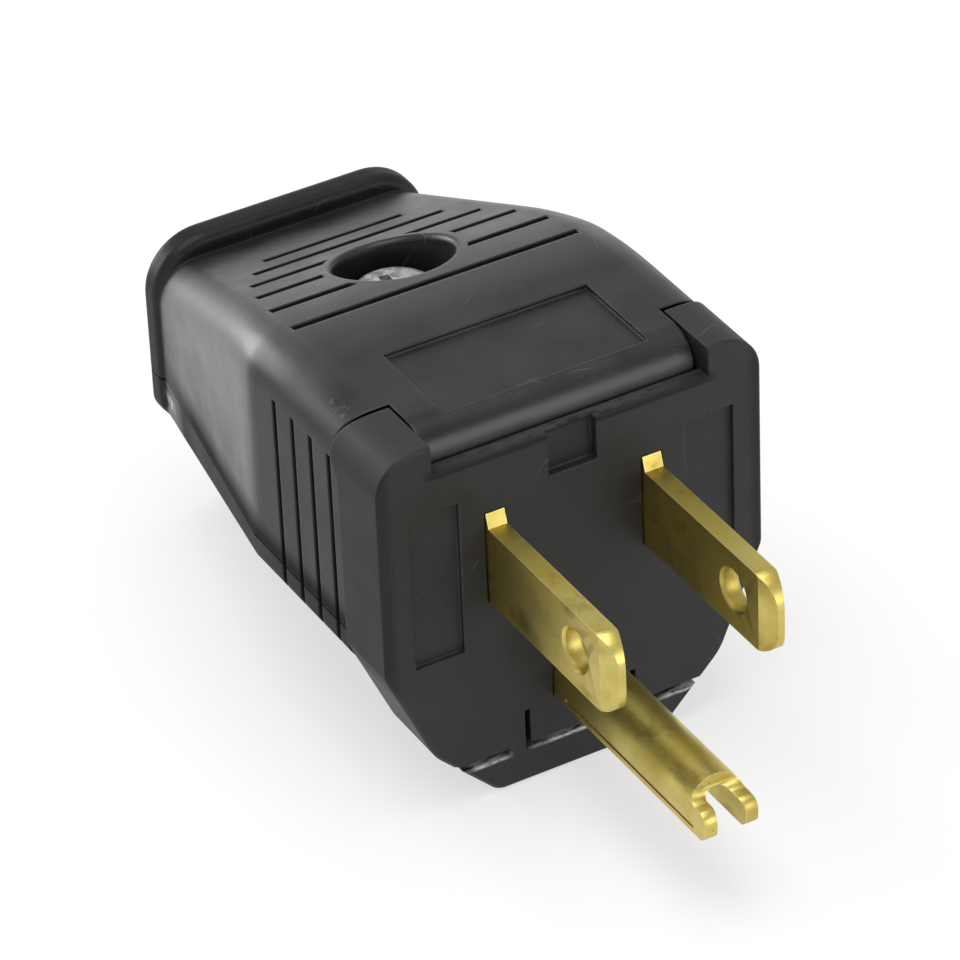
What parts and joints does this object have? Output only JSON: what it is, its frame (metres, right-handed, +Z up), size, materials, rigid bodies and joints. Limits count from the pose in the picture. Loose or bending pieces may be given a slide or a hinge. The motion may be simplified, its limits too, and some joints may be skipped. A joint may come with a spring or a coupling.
{
  "type": "grounded three-prong plug",
  "caption": "Rewirable grounded plug: hinged clamshell body with a screw well and cord collar, flat brass blades and a hairpin ground pin on a shield-shaped face.",
  "frame": {"origin": "on the face, midway between the flat blades on their centre line", "axes": "-Y out of the face along the blades, +Y back to the cord collar, +Z up, away from the ground pin"},
  "size_m": [0.031, 0.0642, 0.0315],
  "materials": {
    "housing": "satin black moulding",
    "contacts": "stamped, slightly tarnished",
    "line_screw": "plain brass",
    "neutral_screw": "nickel plated",
    "ground_screw": "green dyed",
    "clamp_hardware": "zinc plated",
    "retainer": "fibre washer"
  },
  "bodies": {
    "front": {"front_block": "housing", "line_blade": "contacts", "neutral_blade": "contacts", "ground_pin": "contacts", "line_terminal_screw": "line_screw", "neutral_terminal_screw": "neutral_screw", "ground_terminal_screw": "ground_screw"},
    "upper": {"upper_jaw": "housing", "retaining_washer": "retainer"},
    "lower": {"lower_jaw": "housing", "clamp_nut": "clamp_hardware"},
    "screw": {"clamp_screw": "clamp_hardware"}
  },
  "joints": [
    {"name": "upper_jaw_hinge", "type": "hinge", "parent": "front", "child": "upper", "pos_m": [0, 0.0037, 0.0092], "axis": [1, 0, 0], "range_deg": [0, 70]},
    {"name": "lower_jaw_hinge", "type": "hinge", "parent": "front", "child": "lower", "pos_m": [0, 0.0046, -0.0183], "axis": [-1, 0, 0], "range_deg": [0, 70]},
    {"name": "clamp_screw_travel", "type": "slide", "parent": "upper", "child": "screw", "axis": [0, 0, -1], "range_m": [0, 0.0055]}
  ]
}
